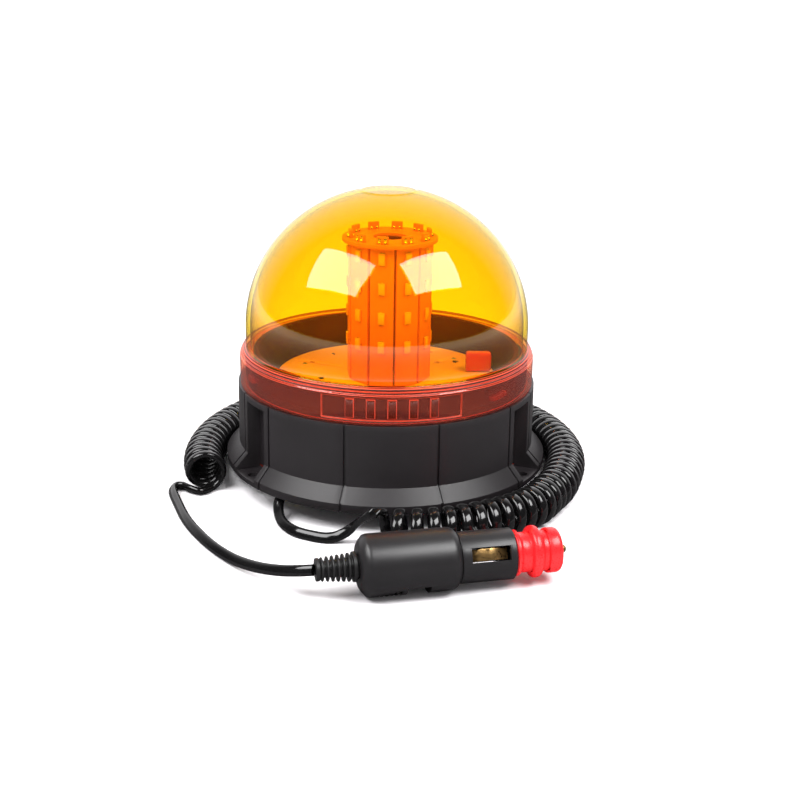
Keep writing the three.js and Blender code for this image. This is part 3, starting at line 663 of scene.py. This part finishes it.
# ---------------------------------------------------------------- base
def housing_profile(kind, solid):
    """The base's section at one azimuth: up its outside, over the spigot and back under the flare."""
    inset = GROOVE_DEEP if kind == "groove" else 0
    if kind == "recess":
        outside = [(FLARE_R, EAR_Z), (NOTCH_R + 8, EAR_Z), (NOTCH_R, EAR_Z), (NOTCH_R, RECESS_TOP),
                   (WALL_R - 0.2, RECESS_TOP)]
    else:
        outside = [(FLARE_R - inset, EAR_Z), (FLARE_R - inset, FLARE_LOW_Z), (WALL_R - inset, FLARE_TOP_Z),
                   (WALL_R - 0.15 - inset, RECESS_TOP - 1), (WALL_R - 0.2 - inset, RECESS_TOP)]
    outside = [(FLARE_R - 0.3 - inset, RIM_Z), (FLARE_R - inset, RIM_Z + 0.6), *outside,
               (WALL_R - 0.2 - inset, SHOULDER_Z)]
    spigot = [(SPIGOT_R, SHOULDER_Z), (SPIGOT_R, SPIGOT_TOP - 0.5), (SPIGOT_R - 0.5, SPIGOT_TOP),
              (SPIGOT_BORE + 0.4, SPIGOT_TOP), (SPIGOT_BORE, SPIGOT_TOP - 0.4),
              (SPIGOT_BORE, PLATE_TOP + 1.2), (PLATE_R + 0.3, PLATE_TOP + 0.2), (PLATE_R + 0.3, RIM_Z)]
    if solid:
        under = [(66.2, RIM_Z), (66.8, RIM_Z), (68.2, RIM_Z), (70, RIM_Z), (71.8, RIM_Z)]
    else:
        under = [(66.2, RIM_Z), (66.2, 16.2), (68.0, 16.2), (71.8, 12.3), (71.8, RIM_Z)]
    return outside + spigot + under


def housing_columns():
    """(azimuth, kind, solid foot) all the way round; an edge has one column for each of its sides."""
    half = math.degrees(GROOVE_WIDE / 2 / WALL_R)
    columns = []
    for third in THIRDS:
        for groove in GROOVES:
            middle = TURN + third + groove
            solid = abs(groove - FOOT_AT) < FOOT_HALF
            columns += [(middle - half, "wall", solid), (middle - half, "groove", solid),
                        (middle + half, "groove", solid), (middle + half, "wall", solid)]
        middle = TURN + third + FOOT_AT
        columns += [(middle - FOOT_HALF, "wall", False), (middle - FOOT_HALF, "wall", True)]
        columns += [(middle - NOTCH_HALF, "wall", True), (middle - NOTCH_HALF, "recess", True)]
        columns += [(middle + NOTCH_HALF * i / 4, "recess", True) for i in range(-3, 4)]
        columns += [(middle + NOTCH_HALF, "recess", True), (middle + NOTCH_HALF, "wall", True)]
        columns += [(middle + FOOT_HALF, "wall", True), (middle + FOOT_HALF, "wall", False)]
    start = TURN - 20
    for azimuth in even_azimuths(columns, start):
        if abs((azimuth - TURN) % 120 - FOOT_AT) > FOOT_HALF:
            columns.append((azimuth, "wall", False))
    return sorted(columns, key=lambda column: (column[0] - start) % 360)


def make_base(materials):
    rows = [[polar(r, azimuth, z) for r, z in housing_profile(kind, solid)]
            for azimuth, kind, solid in housing_columns()]
    shape = Shape().add(grid(rows, wrap_rows=True, wrap_columns=True))
    width = len(rows[0])
    for i in range(len(shape.faces)):
        # rows inside the spigot take the bore finish, painted amber light on black plastic
        if i % width in BORE_ROWS:
            shape.kinds[i] = 1
    holes = Shape()
    for third in THIRDS:
        ear = polar(FLARE_R - EAR_INSET, TURN + third + FOOT_AT)
        holes.add(rod(EAR_HOLE_R, RIM_Z - 1, EAR_Z + 1, 32), place=Matrix.Translation(ear))
    holes.add(block(10, 9, 8, (0, -64.6, RIM_Z + 1)), place=turn_z(CORD_AZIMUTH))
    shape.piece("base_shell", "beacon", [materials["case"], materials["bore"]], "base_plastic",
                ["base_housing"], edge=0.28, holes=holes)
    ribs = Shape()
    for azimuth in LUG_AT:
        ribs.add(band(SPIGOT_R - 0.1, SPIGOT_R + 2.3, 53.6, 55.8, azimuth - 6, 58, THREAD_LEAD))
    ribs.piece("spigot_thread", "beacon", [materials["case"]], "base_plastic", edge=0.2)


def screw_head(r, rise):
    """A pan head on z = 0 with a cross recess, looking up."""
    arc = [(r, 0), (r, rise * 0.35), (r * 0.86, rise * 0.75), (r * 0.6, rise)]
    return turned([(0, 0), *arc, (0, rise)], 32)


def cross(r, rise):
    return [block(r * 1.1, r * 0.26, rise, (0, 0, rise)), block(r * 0.26, r * 1.1, rise, (0, 0, rise))]


def make_screw(materials, name, node, place, r, rise, shank_r, length):
    """A screw whose head has radius r and stands rise high, with a shank below it."""
    shape = Shape().add(screw_head(r, rise)).add(
        turned([(0, -length), (shank_r, -length + 0.6), (shank_r, 0.05), (0, 0.05)], 24))
    holes = Shape()
    for bar in cross(r, rise):
        holes.add(bar)
    return shape.piece(name, "beacon", [materials["zinc"]], "zinc_steel", [node], place=place,
                       holes=holes, edge=0.05)


def make_underside(materials):
    plate = Shape().add(turned([
        (3.3, PLATE_LOW), (46.6, PLATE_LOW), (47.0, PLATE_LOW + 0.5), (48.4, PLATE_LOW + 0.5),
        (48.8, PLATE_LOW), (PLATE_R - 0.3, PLATE_LOW), (PLATE_R, PLATE_LOW + 0.3), (PLATE_R, PLATE_TOP),
        (3.3, PLATE_TOP)], 144))
    for azimuth in PILLAR_AT:
        plate.add(rod(3.6, PLATE_TOP - 0.5, BOARD_LOW.z - 0.3, 32),
                  place=Matrix.Translation(polar(PILLAR_R, azimuth)))
    holes = Shape().add(block(10, 12, 8, (0, -62.6, PLATE_LOW + 1)), place=turn_z(CORD_AZIMUTH))
    plate.piece("bottom_plate", "beacon", [materials["case"]], "base_plastic", ["base_plate"],
                holes=holes, edge=0.15)
    for i, third in enumerate(THIRDS):
        at = polar(BOSS_R, TURN + third, PLATE_LOW - 0.3)
        make_screw(materials, f"plate_screw_{i + 1}", f"base_plate_screw_{i + 1}",
                   Matrix.Translation(at) @ turn_x(180), 3.3, 1.7, 1.5, 12)
    r = (BOOT_HIGH.x - BOOT_LOW.x) / 2
    low, high = BOOT_LOW.z, BOOT_HIGH.z
    boot = Shape().add(turned([
        (0, low), (r * 0.55, low), (r * 0.56, low + 0.3), (r * 0.6, low + 0.3), (r * 0.61, low),
        (r - 1.2, low), (r - 0.4, low + 0.3), (r, low + 1.1), (r, high - 0.6), (r - 0.4, high),
        (r - 1.5, high), (r - 1.5, low + 1.3), (0, low + 1.3)], 144))
    boot.piece("magnet_rubber_boot", "beacon", [materials["rubber"]], "magnet_rubber", ["magnet_boot"])


# ---------------------------------------------------------------- light tower
def tower_place(side):
    return Matrix.Translation((TOWER_X, 0, 0)) @ turn_z(TOWER_TURN + side * 360 / TOWER_SIDES)


def led_package(shape, z):
    """A white package with its yellow window and a metal foot at each end."""
    front = -FACE_R
    shape.add(block(3.0, 0.9, 5.2, (0, front - 0.6, z)), 1)
    shape.add(block(2.3, 0.12, 4.2, (0, front - 1.08, z)), 2)
    for end in (-1, 1):
        shape.add(block(2.4, 0.35, 0.5, (0, front - 0.2, z + end * 2.75)), 3)


def make_strip(materials, side):
    shape = Shape()
    foot = STRIP_LOW.z
    middle = -FACE_R + BOARD_THICK / 2
    shape.add(block(STRIP_WIDE, BOARD_THICK, STRIP_TOP - foot, (0, middle, (STRIP_TOP + foot) / 2)))
    shape.add(block(TAB_WIDE, BOARD_THICK, STRIP_HIGH.z - STRIP_TOP,
                    (0, middle, (STRIP_HIGH.z + STRIP_TOP) / 2)))
    for z in LED_ROWS:
        led_package(shape, z)
    for x in (-1.35, 1.35):
        for y, depth in ((-FACE_R - 0.15, 0.9), (-FACE_R + BOARD_THICK + 0.15, 0.7)):
            shape.add(blob(depth, 1.5), 3, Matrix.Translation((x, y, TOP_BOARD_TOP)))
        shape.add(block(1.5, 0.14, 2.2, (x, -FACE_R - 0.02, TOP_BOARD_TOP + 1.6)), 3)
    kinds = [materials[k] for k in ("board", "led", "phosphor", "solder")]
    shape.piece(f"led_strip_{side + 1:02d}", "beacon", kinds, "board_white",
                [f"led_board_{side + 1:02d}"], place=tower_place(side), edge=0.1)


def make_tower(materials):
    for side in range(TOWER_SIDES):
        make_strip(materials, side)
    low, high = TOP_LOW.z, TOP_BOARD_TOP
    ring = Shape().add(turned([(TOP_HOLE_R, low), (TOP_BOARD_R, low), (TOP_BOARD_R, high),
                               (TOP_HOLE_R, high)], 96))
    slots = Shape()
    for side in range(TOWER_SIDES):
        slots.add(block(TAB_WIDE + 0.6, BOARD_THICK + 0.4, 4, (0, -FACE_R + BOARD_THICK / 2, high - 1)),
                  place=turn_z(TOWER_TURN + side * 360 / TOWER_SIDES))
    ring.piece("tower_top_disc", "beacon", [materials["board"]], "board_white", ["tower_top_board"],
               place=Matrix.Translation((TOWER_X, 0, 0)), holes=slots, edge=0.12)


def make_main_board(materials):
    low, high = BOARD_LOW.z, BOARD_HIGH.z
    shape = Shape().add(rod(BOARD_R, low, high, 128))
    holes = Shape()
    for x, y, r in BOARD_HOLES:
        holes.add(rod(r, low - 1, high + 1, 24), place=Matrix.Translation((x, y, 0)))
    shape.piece("round_board", "beacon", [materials["round"]], "board_white", ["main_board"],
                holes=holes, edge=0.1)
    chips = Shape()
    for x, y, wide, deep, angle in BOARD_CHIPS:
        place = Matrix.Translation((x, y, high)) @ turn_z(angle)
        chips.add(block(wide * 0.62, deep, 0.6, (0, 0, 0.32)), 0, place)
        for end in (-1, 1):
            chips.add(block(wide * 0.18, deep, 0.62, (end * wide * 0.4, 0, 0.32)), 1, place)
    chips.piece("board_chips", "beacon", [materials["inside"], materials["solder"]], "component_dark",
                edge=0.05)
    for i, azimuth in enumerate(PILLAR_AT):
        at = polar(PILLAR_R, azimuth, high + 0.1)
        make_screw(materials, f"round_board_screw_{i + 1}", f"board_screw_{i + 1}",
                   Matrix.Translation(at) @ turn_z(25), 2.7, 1.7, 1.1, 8.5)


def make_capacitor(materials):
    size = CAP_HIGH - CAP_LOW
    shape = Shape().add(block(*size, (CAP_LOW + CAP_HIGH) / 2))
    shape.piece("dipped_capacitor", "beacon", [materials["dipped"]], "capacitor_red", ["film_capacitor"],
                edge=1.3)


# ---------------------------------------------------------------- lens
def dome_curve(wall, disc, steps):
    across, rise = DOME_R - wall, DOME_RISE - wall
    last = math.acos(disc / across)
    return [(across * math.cos(last * i / steps), DOME_MID_Z + rise * math.sin(last * i / steps))
            for i in range(steps + 1)]


def lens_profile(zone, rib):
    """The lens's section: up the outside of skirt and dome, and down the inside."""
    panel = SKIRT_R - (RIB_DEEP if zone else 0)
    raised = SKIRT_R if rib else panel
    skirt = [(SKIRT_R - 0.3, LENS_FOOT), (SKIRT_R, LENS_FOOT + 0.4), (SKIRT_R, 49.1), (panel, 49.1),
             (panel, 50.0), (raised, 50.0), (raised, 58.2), (panel, 58.2), (panel, 58.9), (SKIRT_R, 58.9),
             (SKIRT_R, 59.9), (66.9, 60.3), (66.9, 61.4), (66.2, 61.5), (66.2, 62.6), (66.0, 62.8),
             (DOME_R + 0.2, 62.9), (DOME_R, 63.2), (DOME_R, 68)]
    top = [(DISC_R - 0.25, DISC_TOP - 0.05), (DISC_R - 0.7, DISC_TOP), (0, DISC_TOP)]
    inside = [(0, DOME_MID_Z + DOME_RISE - LENS_WALL)]
    inside += dome_curve(LENS_WALL, 0.5, 28)[::-1]
    inside += [(DOME_R - LENS_WALL, 63), (SKIRT_BORE, 60.8), (SKIRT_BORE, LENS_FOOT)]
    return skirt + dome_curve(0, DISC_R, 44) + top + inside


def lens_columns():
    """(azimuth, in a grip zone, on a rib), with two columns at each edge."""
    columns = []
    for third in THIRDS:
        middle = TURN + third
        for edge in (-1, 1):
            azimuth = middle + edge * ZONE_HALF
            columns += [(azimuth, edge > 0, False), (azimuth, edge < 0, False)]
        for step in range(-2, 3):
            left = middle + step * RIB_PITCH - RIB_WIDE / 2
            columns += [(left, True, False), (left, True, True), (left + RIB_WIDE / 2, True, True),
                        (left + RIB_WIDE, True, True), (left + RIB_WIDE, True, False)]
    start = TURN - 40
    for azimuth in even_azimuths(columns, start):
        from_zone = abs((azimuth - TURN + 60) % 120 - 60)
        columns.append((azimuth, from_zone < ZONE_HALF, False))
    return sorted(columns, key=lambda column: (column[0] - start) % 360)


def make_lens(materials):
    rows = [[polar(r, azimuth, z) for r, z in lens_profile(zone, rib)]
            for azimuth, zone, rib in lens_columns()]
    shape = Shape().add(grid(rows, wrap_rows=True, wrap_columns=True))
    width = len(rows[0])
    for i in range(len(shape.faces)):
        row = i % width
        if row < SKIRT_ROWS or row >= width - 2:
            shape.kinds[i] = 1
        # the collar's rows take the darker collar finish: painted shade for the black spigot seen through
        # them
        elif row < COLLAR_ROWS:
            shape.kinds[i] = 3
    kinds = [materials[k] for k in ("amber", "skirt", "edge", "collar")]
    # the rounded edges take the glowing edge finish: painted light along the lens's edges
    shape.piece("amber_lens", "lens", kinds, "amber_lens", ["dome_lens"], edge=0.16, edge_material=2)
    lugs = Shape()
    for azimuth in LUG_AT:
        lugs.add(band(SPIGOT_R + 1.1, SKIRT_BORE + 0.05, 50.6, 52.9, azimuth - 4.5, 9, THREAD_LEAD))
    lugs.piece("lens_lugs", "lens", [materials["lug"]], "amber_lens", edge=0.2)


# ---------------------------------------------------------------- plug
PLUG_PLACE = Matrix.Translation(PLUG_AT) @ turn_z(PLUG_TURN)


def plug_piece(shape, name, body, materials, slot, nodes, **extra):
    piece = shape.piece(name, body, materials, slot, nodes, place=PLUG_PLACE, **extra)
    return piece


def make_relief(materials):
    profile = [(0.4, 1.9)]
    for i in range(7):
        x = 0.4 + i * 2.05
        r = 4.5 + i * 0.18
        wide = 0.8 if i else 1.5
        neck = 3.2 + i * 0.07
        profile += [(x, neck), (x, r - 0.2), (x + 0.2, r), (x + wide - 0.2, r), (x + wide, r - 0.2),
                    (x + wide, neck)]
    profile += [(14.6, 4.0), (14.6, 5.7), (14.8, 5.9), (15.9, 5.9), (16.1, 5.7), (16.1, 4.5),
                (21.5, 4.5), (21.5, 1.9)]
    plug_piece(Shape().add(lying(profile, 56)), "strain_relief", "beacon", [materials["relief"]],
               "plug_black", ["plug_strain_relief"])


def make_plug_body(materials):
    """Two half shells. The front one starts at 180 degrees, and the back one has the screw's hole."""
    profile = [(BODY_FROM, 4.8), (BODY_FROM, 8.6), (BODY_FROM + 0.7, 9.9),
               (BODY_FROM + 2.4, BODY_R - 0.35), (BODY_FROM + 3.4, BODY_R - 0.05), (BODY_FROM + 4.4, BODY_R),
               (BODY_TO - 3.4, BODY_R), (BODY_TO - 2.2, BODY_R - 0.2), (BODY_TO - 1.2, BODY_R - 0.8),
               (BODY_TO - 0.4, BODY_R - 1.6), (BODY_TO, BODY_R - 2.2), (BODY_TO, 9.7), (22, 9.7),
               (19.2, 8), (19.2, 4.8)]
    turn = 0.35  # opens the joint between the halves
    roll = turn_x(BODY_ROLL)
    for first, name in ((180, "front"), (0, "back")):
        start = first + turn
        shape = Shape().add(lying(profile, 48, start, 180 - 2 * turn), place=roll)
        cuts = Shape()
        for i in range(GRIP_TEETH):
            tooth = block(1.1, 18, 1.6 + 0.8 * i, (GRIP_FROM + i * GRIP_PITCH, 0, -BODY_R - 0.1))
            cuts.add(tooth, place=roll)
        cuts.add(block(9.2, 18, 6.2, (39, 0, -BODY_R)), place=roll)
        if name == "back":
            cuts.add(rod(2.6, -1, 5, 32),
                     place=roll @ Matrix.Translation((PLUG_SCREW_X, 9, 0)) @ turn_x(-90))
        plug_piece(shape, f"plug_half_{name}", "beacon", [materials["plug"]], "plug_black",
                   [f"plug_shell_{name}"], holes=cuts, edge=0.16)


def make_barrel(materials):
    window = block(WINDOW_TO - WINDOW_FROM, 40, WINDOW_WIDE, ((WINDOW_FROM + WINDOW_TO) / 2, 0, 0))
    profile = [(50, 7.8), (50, 9.4), (BODY_TO + 0.3, 9.4), (BODY_TO + 0.3, BARREL_R - 0.25),
               (BODY_TO + 0.6, BARREL_R), (BARREL_TO - 0.5, BARREL_R), (BARREL_TO, BARREL_R - 0.5),
               (BARREL_TO, 6.4), (BARREL_TO - 1.4, 6.4), (BARREL_TO - 1.4, 7.8)]
    plug_piece(Shape().add(lying(profile, 96)), "barrel_sleeve", "beacon", [materials["plug"]],
               "plug_black", ["plug_barrel"], edge=0.1,
               holes=Shape().add(window, place=turn_x(-CONTACT_TILT)))
    cap = [(76.2, 4.2), (76.2, 6.1), (BARREL_TO + 0.2, 6.1), (BARREL_TO + 0.2, NOSE_R),
           (NOSE_TO - 1, NOSE_R), (NOSE_TO - 0.3, NOSE_R - 0.3), (NOSE_TO, NOSE_R - 1), (NOSE_TO, 2),
           (NOSE_TO - 2, 2), (NOSE_TO - 2, 4.2)]
    plug_piece(Shape().add(lying(cap, 64)), "nose_cap", "beacon", [materials["plug"]], "plug_black",
               ["fuse_cap"], edge=0.1)
    tip = [(90.55, 0), (90.55, 3.7), (92.2, 3.7), (92.2, 1.6), (98.9, 1.6), (99.7, 1.45), (100.2, 1.0),
           (100.4, 0.5), (100.4, 0)]
    plug_piece(Shape().add(lying(tip, 32)), "tip_pin", "tip", [materials["brass"]], "contact_brass",
               ["tip_contact"])


def make_contact(materials, name, node, tilt):
    """A bowed brass leaf that looks along +Z before it is turned."""
    rows = []
    half = LEAF_WIDE / 2
    for i in range(LEAF_STEPS + 1):
        x = LEAF_START + (LEAF_TO - LEAF_START) * i / LEAF_STEPS
        rise = LEAF_LOW + LEAF_RISE * math.sin(math.pi * max(0, x - LEAF_FROM) / LEAF_BOW) ** 1.5
        rows.append([Vector((x, -half, rise - LEAF_THICK)), Vector((x, half, rise - LEAF_THICK)),
                     Vector((x, half, rise)), Vector((x, -half, rise))])
    shape = Shape().add(grid(rows, wrap_columns=True, caps=True), place=turn_x(tilt))
    plug_piece(shape, name, node, [materials["brass"]], "contact_brass", [node], edge=0.08)


def make_adapter(materials):
    profile = [(BARREL_TO + 0.3, NOSE_R + 0.5), (BARREL_TO + 0.3, 8.6), (78.5, 8.95), (78.9, 9.1),
               (79.6, 9.05), (80.0, 8.7), (80.5, 8.1), (81.2, 7.9), (83.6, 7.85), (84.2, 8.1), (84.7, 9.0),
               (85.1, 9.8), (85.7, 10.15), (86.6, 10.25), (87.6, 10.15), (88.2, 9.8), (88.6, 9.0),
               (89.0, 8.3), (89.6, 8.0), (91.1, 8.0), (91.3, 8.2), (91.5, 8.65), (91.9, 8.85),
               (95.2, 8.85), (96.2, 8.5), (96.8, 7.8),
               (ADAPTER_TO, 6.8), (ADAPTER_TO, 2.2), (95, 2.2), (95, NOSE_R + 0.5)]
    cuts = Shape()
    for angle in (125, 245, 5):
        cuts.add(block(3.4, 2.4, 0.7, (85.1, 0, 8.3)), 0, turn_x(angle))
        cuts.add(block(2.5, 2.4, 0.9, (91.5, 0, 8.3)), 0, turn_x(angle))
    plug_piece(Shape().add(lying(profile, 96)), "red_adapter", "adapter", [materials["red"]], "adapter_red",
               ["nose_adapter"], holes=cuts)


def make_plug(materials):
    make_relief(materials)
    make_plug_body(materials)
    screw_at = PLUG_PLACE @ turn_x(BODY_ROLL) @ Matrix.Translation((PLUG_SCREW_X, 8.2, 0)) @ turn_x(-90)
    make_screw(materials, "plug_half_screw", "plug_screw", screw_at, 2.2, 1.4, 0.9, 13)
    make_barrel(materials)
    make_contact(materials, "contact_leaf_front", "side_contact_front", 90 - CONTACT_TILT)
    make_contact(materials, "contact_leaf_back", "side_contact_back", -90 - CONTACT_TILT)
    make_adapter(materials)


# ---------------------------------------------------------------- what stays from the CAD
def finish_cad_nodes(materials):
    """Finishes for the CAD nodes that stay, most of them inside."""
    finishes = {
        "magnet_cup": "zinc", "magnet_ring": "rubber", "magnet_bolt": "zinc", "magnet_washer": "zinc",
        "magnet_nut": "zinc", "smoothing_capacitor": "inside", "driver_coil": "inside",
        "driver_chip": "inside", "lens_seal": "rubber", "cable_grommet": "rubber", "live_wire": "dipped",
        "earth_wire": "cord", "fuse": "zinc", "fuse_spring": "zinc", "fuse_holder": "brass",
    }
    for node, finish in finishes.items():
        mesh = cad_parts[node].data
        mesh.materials.clear()
        mesh.materials.append(materials[finish])


# ---------------------------------------------------------------- stage and light
SOFTBOXES = (  # centre, width, height and the way the width runs
    ((-479, -289, 725), 690, 455, (0.643, -0.748, 0.166)),
    ((451, -311, 757), 615, 430, (0.703, 0.694, -0.151)),
)
SOFTBOX_WATTS = 10.0
AIM_Z = 70  # the softboxes look at the beacon's axis at this height
FLOOR_HALF = 4.0  # metres


def make_softbox(name, centre, width, height, along):
    data = bpy.data.lights.new(name, "AREA")
    data.shape = "RECTANGLE"
    data.size = width * MM
    data.size_y = height * MM
    data.energy = SOFTBOX_WATTS
    light = bpy.data.objects.new(name, data)
    SCENE.collection.objects.link(light)
    away = (Vector(centre) - Vector((0, 0, AIM_Z))).normalized()
    wide = (Vector(along) - away * Vector(along).dot(away)).normalized()
    axes = Matrix((wide, away.cross(wide), away)).transposed()
    light.matrix_world = Matrix.Translation(Vector(centre) * MM) @ axes.to_4x4()


def make_floor():
    """A white sweep. Reflections show it greyer, and past the beacon it fades into the background."""
    mesh = bpy.data.meshes.new("floor")
    corner = [(x * FLOOR_HALF, y * FLOOR_HALF, 0) for x, y in ((-1, -1), (1, -1), (1, 1), (-1, 1))]
    mesh.from_pydata(corner, [], [(0, 1, 2, 3)])
    floor = bpy.data.objects.new("floor", mesh)
    SCENE.collection.objects.link(floor)
    nodes = Nodes("floor_white")
    white = nodes.principled((0.95, 0.93, 0.95), Roughness=0.6, Specular_IOR_Level=0.0)
    grey = nodes.principled((0.12, 0.117, 0.12), Roughness=0.6, Specular_IOR_Level=0.0)
    far = nodes.new("ShaderNodeEmission")
    far.inputs["Strength"].default_value = 1.7
    away = nodes.new("ShaderNodeVectorMath", operation="LENGTH")
    nodes.link(nodes.place, away.inputs[0])
    glossy_ray = nodes.new("ShaderNodeLightPath").outputs["Is Glossy Ray"]
    near = mix_shaders(nodes.tree, glossy_ray, white.outputs[0], grey.outputs[0])
    fade = nodes.between(away.outputs["Value"], 0, 1, 0.3, 0.9)
    mesh.materials.append(nodes.finish(mix_shaders(nodes.tree, fade, near, far.outputs[0])))


def make_world():
    """White where it is seen and for soft light. In reflections it is bright behind and dark in front."""
    world = bpy.data.worlds.new("studio")
    SCENE.world = world
    world.use_nodes = True
    tree = world.node_tree
    tree.nodes.clear()

    def background(strength):
        node = tree.nodes.new("ShaderNodeBackground")
        node.inputs["Color"].default_value = (1, 0.985, 1, 1)
        node.inputs["Strength"].default_value = strength
        return node.outputs[0]

    split = tree.nodes.new("ShaderNodeSeparateXYZ")
    tree.links.new(tree.nodes.new("ShaderNodeTexCoord").outputs["Generated"], split.inputs[0])
    behind = tree.nodes.new("ShaderNodeMapRange")
    behind.inputs["From Min"].default_value = 0.35
    behind.inputs["From Max"].default_value = 0.9
    tree.links.new(split.outputs["Y"], behind.inputs["Value"])
    path = tree.nodes.new("ShaderNodeLightPath").outputs
    mirrored = mix_shaders(tree, behind.outputs["Result"], background(0.06), background(1.5))
    light = mix_shaders(tree, path["Is Glossy Ray"], background(0.5), mirrored)
    output = tree.nodes.new("ShaderNodeOutputWorld")
    seen = mix_shaders(tree, path["Is Camera Ray"], light, background(1.7))
    tree.links.new(seen, output.inputs["Surface"])


def make_studio():
    SCENE.view_settings.view_transform = "Standard"
    SCENE.cycles.transparent_max_bounces = 32
    SCENE.cycles.use_denoising = True
    make_world()
    make_floor()
    for i, (centre, width, height, along) in enumerate(SOFTBOXES):
        make_softbox(f"softbox_{i + 1}", centre, width, height, along)


make_camera()
MATERIALS = make_materials()
make_plug(MATERIALS)
make_cord(MATERIALS)
make_base(MATERIALS)
make_underside(MATERIALS)
make_tower(MATERIALS)
make_main_board(MATERIALS)
make_capacitor(MATERIALS)
make_lens(MATERIALS)
finish_cad_nodes(MATERIALS)
make_studio()
